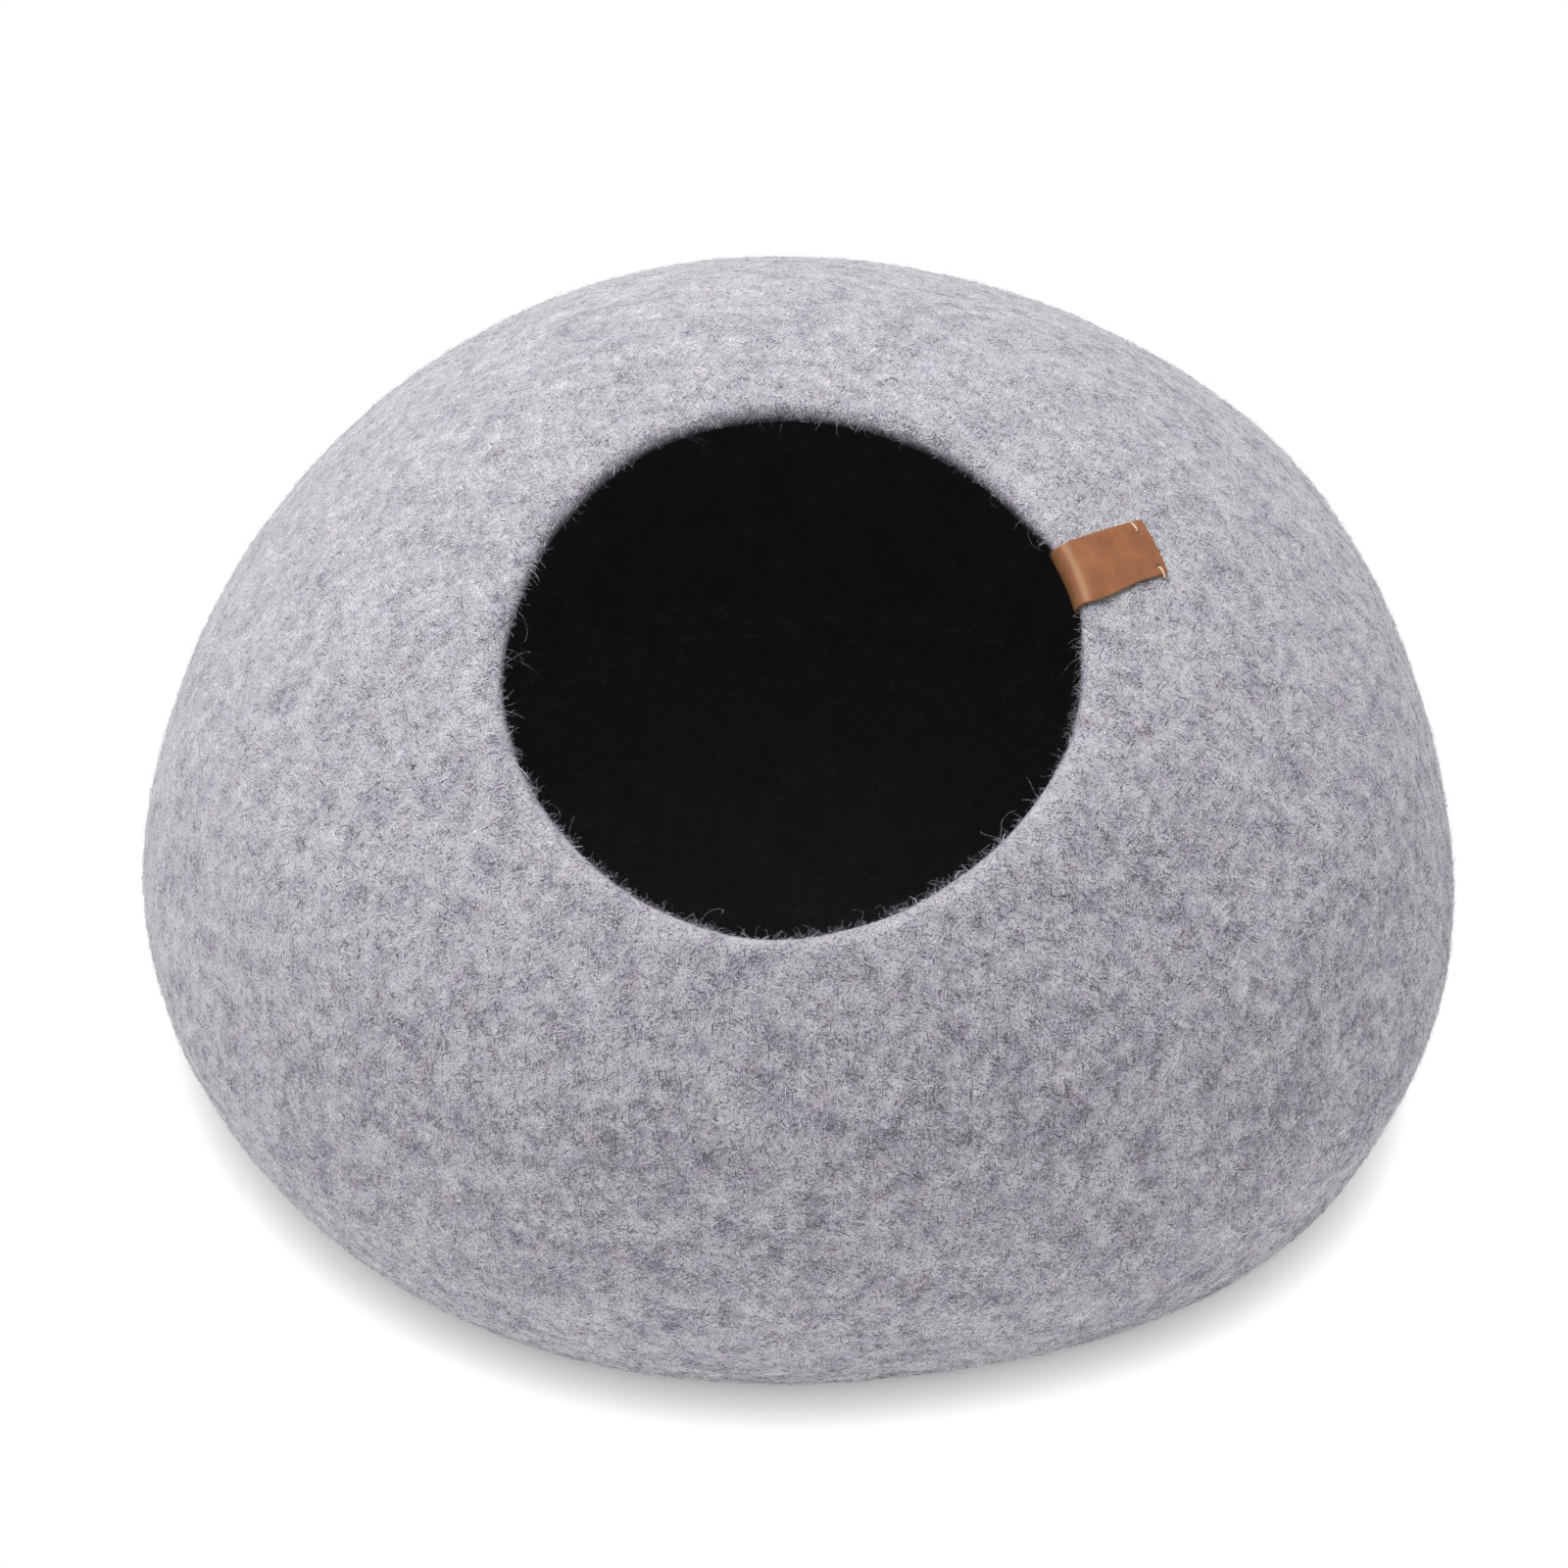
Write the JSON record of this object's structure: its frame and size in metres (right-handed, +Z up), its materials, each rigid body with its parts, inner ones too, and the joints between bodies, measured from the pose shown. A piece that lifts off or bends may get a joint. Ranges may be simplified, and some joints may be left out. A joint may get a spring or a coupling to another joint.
{
  "type": "felt cat cave",
  "caption": "Rounded felt cat cave with a round mouth that leans to the front, a thick seamless wall and a leather tag folded over the lip.",
  "frame": {"origin": "on the floor, under the middle of the cave", "axes": "+Z up; the mouth leans towards -Y, the front; +X to the right as seen from the front, the side the tag is on"},
  "size_m": [0.4996, 0.4854, 0.2741],
  "materials": {
    "wool_felt": "heather grey wool felt with a soft, hairy face; the same wall is black wool inside",
    "tan_leather": "smooth tan leather with a low sheen and cut edges",
    "thread": "twisted golden thread"
  },
  "bodies": {
    "root": {"shell": "wool_felt", "tag": "tan_leather"}
  },
  "joints": []
}
